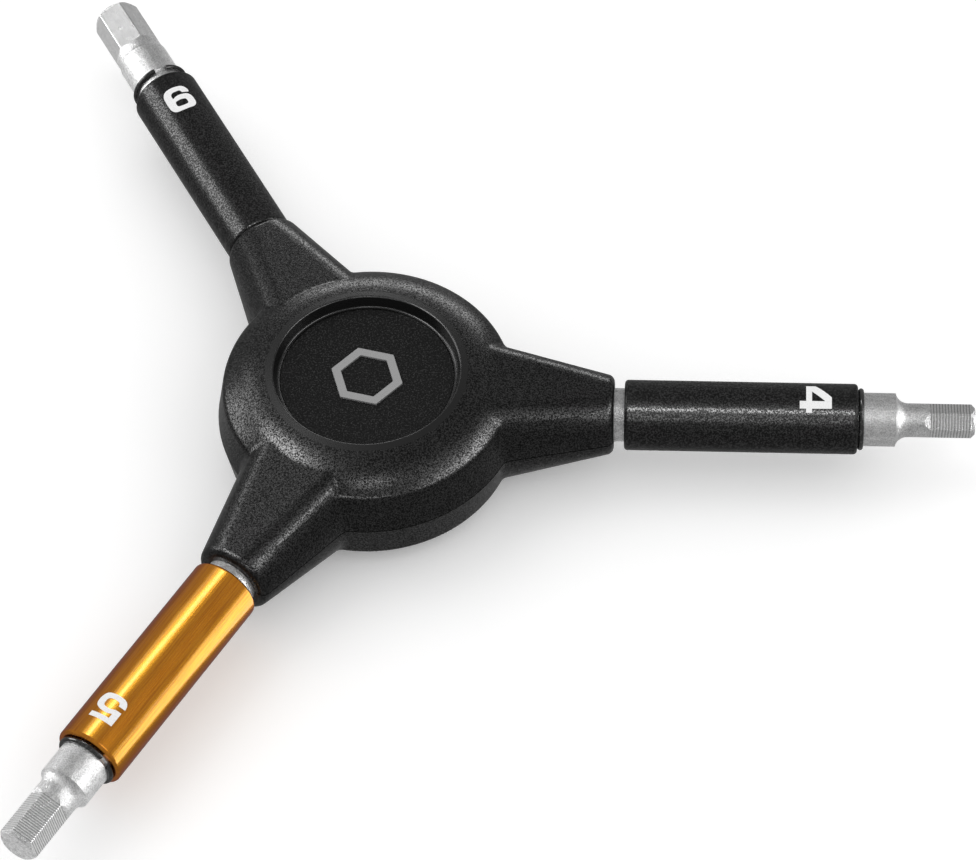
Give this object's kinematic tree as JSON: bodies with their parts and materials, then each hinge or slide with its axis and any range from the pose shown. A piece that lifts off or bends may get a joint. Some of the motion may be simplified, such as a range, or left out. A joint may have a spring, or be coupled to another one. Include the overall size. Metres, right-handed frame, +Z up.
{
  "type": "y wrench",
  "caption": "Y-shaped hex key: a round moulded hub holds three steel shafts with hexagon tips, each with a freely spinning grip sleeve.",
  "frame": {"origin": "centre of the flat underside of the hub, where the wrench rests on a bench", "axes": "+X along the arm with the 4 mm hexagon, +Z up through the hub's cap; the 6 mm arm lies 120 degrees and the 5 mm arm 240 degrees from +X, counted towards +Y"},
  "size_m": [0.1249, 0.1437, 0.018],
  "materials": {
    "handle_black": "black moulded nylon with a fine leathery grain",
    "cap_black": "black plastic with a fine sparkle",
    "shaft_steel": "satin bead-blasted steel, milled flats at the hexagon",
    "ring_black": "glossy black oxide spring wire",
    "sleeve_black": "black powder coat with a fine sparkle",
    "sleeve_orange": "smooth orange anodised"
  },
  "bodies": {
    "handle": {"handle_upper_shell": "handle_black", "handle_lower_shell": "handle_black", "hub_cap": "cap_black", "hex_shaft_4mm": "shaft_steel", "snap_ring_4mm": "ring_black", "hex_shaft_5mm": "shaft_steel", "snap_ring_5mm": "ring_black", "hex_shaft_6mm": "shaft_steel", "snap_ring_6mm": "ring_black"},
    "sleeve_4mm": {"spin_sleeve_4mm": "sleeve_black"},
    "sleeve_5mm": {"spin_sleeve_5mm": "sleeve_orange"},
    "sleeve_6mm": {"spin_sleeve_6mm": "sleeve_black"}
  },
  "joints": [
    {"name": "sleeve_4mm_spin", "type": "hinge", "parent": "handle", "child": "sleeve_4mm", "pos_m": [0.05, 0, 0.009], "axis": [1, 0, 0], "continuous": true},
    {"name": "sleeve_5mm_spin", "type": "hinge", "parent": "handle", "child": "sleeve_5mm", "pos_m": [-0.025, -0.0433, 0.009], "axis": [-0.5, -0.866, 0], "continuous": true},
    {"name": "sleeve_6mm_spin", "type": "hinge", "parent": "handle", "child": "sleeve_6mm", "pos_m": [-0.025, 0.0433, 0.009], "axis": [-0.5, 0.866, 0], "continuous": true}
  ]
}
